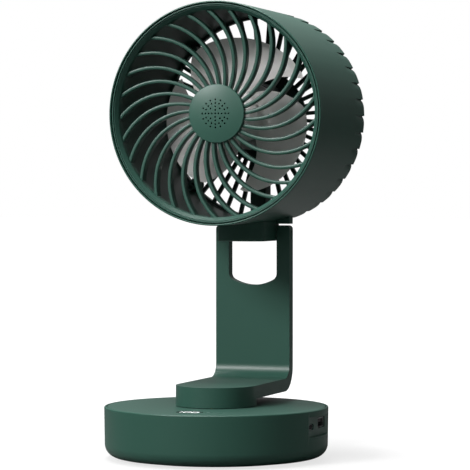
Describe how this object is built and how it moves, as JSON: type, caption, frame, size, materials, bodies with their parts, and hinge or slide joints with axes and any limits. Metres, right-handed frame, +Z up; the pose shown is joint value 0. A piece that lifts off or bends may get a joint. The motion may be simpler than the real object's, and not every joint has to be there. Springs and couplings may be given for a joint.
{
  "type": "desk fan",
  "caption": "Rechargeable desk fan with a round base, a flat L-shaped folding arm and a drum-shaped head with swept-rib grille.",
  "frame": {"origin": "centre of the base's underside, on the arm's swivel axis, at floor level", "axes": "+Z up along the swivel axis; the fan blows towards -Y; +X is the side of the base with the ports"},
  "size_m": [0.14, 0.162, 0.2848],
  "materials": {
    "housing_green": "satin dark green moulding",
    "grille_green": "satin darker green moulding",
    "blade_grey": "satin light grey moulding",
    "black_plastic": "satin black moulding",
    "display_lens": "smoked clear lens",
    "steel": "plain steel",
    "brass": "plain brass",
    "winding": "enamelled copper winding on a steel core",
    "rubber": "matt black rubber",
    "board": "green circuit board",
    "cell": "blue shrink sleeve over a metal can",
    "motor_can": "plated metal can"
  },
  "bodies": {
    "base": {"base_lower_shell": "housing_green", "base_top_cover": "housing_green", "non_slip_pad": "rubber", "base_screw_1": "steel", "base_screw_2": "steel", "base_screw_3": "steel", "base_screw_4": "steel", "display_window": "display_lens", "display_module": "black_plastic", "control_board": "board", "power_switch": "black_plastic", "swing_switch": "black_plastic", "usb_a_socket": "steel", "usb_c_socket": "steel", "charging_board": "board", "battery_cell_1": "cell", "battery_cell_2": "cell", "swing_motor": "motor_can", "swing_motor_screw_1": "steel", "swing_motor_screw_2": "steel", "swivel_bushing": "brass"},
    "power_key": {"power_key": "housing_green"},
    "swing_key": {"swing_key": "housing_green"},
    "pinion": {"swing_pinion": "brass", "swing_motor_shaft": "steel"},
    "arm": {"arm_front_shell": "housing_green", "arm_rear_cover": "housing_green", "swivel_shaft": "black_plastic", "swivel_gear": "blade_grey", "shaft_clip": "steel", "flange_screw_1": "steel", "flange_screw_2": "steel", "flange_screw_3": "steel", "hinge_pin": "steel", "hinge_cap_left": "housing_green", "hinge_cap_right": "housing_green"},
    "head": {"neck_bracket": "housing_green", "neck_screw_1": "steel", "neck_screw_2": "steel", "friction_washer_left": "steel", "friction_washer_right": "steel", "drum_shell": "housing_green", "front_grille": "grille_green", "grille_cap": "housing_green", "rear_grille": "grille_green", "rear_grille_screw_1": "steel", "rear_grille_screw_2": "steel", "rear_grille_screw_3": "steel", "rear_grille_screw_4": "steel", "motor_base": "steel", "motor_stator": "winding", "motor_board": "board", "bearing_front": "steel", "bearing_rear": "steel", "motor_screw_1": "steel", "motor_screw_2": "steel"},
    "impeller": {"impeller": "blade_grey", "rotor_cup": "steel", "motor_shaft": "steel", "impeller_nut": "black_plastic"}
  },
  "joints": [
    {"name": "arm_swing", "type": "hinge", "parent": "base", "child": "arm", "pos_m": [0, 0, 0.0325], "axis": [0, 0, 1], "range_deg": [-45, 45]},
    {"name": "pinion_spin", "type": "hinge", "parent": "base", "child": "pinion", "pos_m": [0, 0.028, 0.0246], "axis": [0, 0, 1], "range_deg": [-170, 170]},
    {"name": "head_tilt", "type": "hinge", "parent": "arm", "child": "head", "pos_m": [0, 0.0724, 0.138], "axis": [1, 0, 0], "range_deg": [-45, 90]},
    {"name": "impeller_spin", "type": "hinge", "parent": "head", "child": "impeller", "pos_m": [0, 0.03, 0.2148], "axis": [0, 1, 0], "continuous": true},
    {"name": "power_key_press", "type": "slide", "parent": "base", "child": "power_key", "axis": [0, 0, -1], "range_m": [0, 0.0006], "stiffness_N_per_m": 500},
    {"name": "swing_key_press", "type": "slide", "parent": "base", "child": "swing_key", "axis": [0, 0, -1], "range_m": [0, 0.0006], "stiffness_N_per_m": 500}
  ],
  "couplings": [
    {"joint": "pinion_spin", "follows": "arm_swing", "ratio": -3.6667}
  ]
}
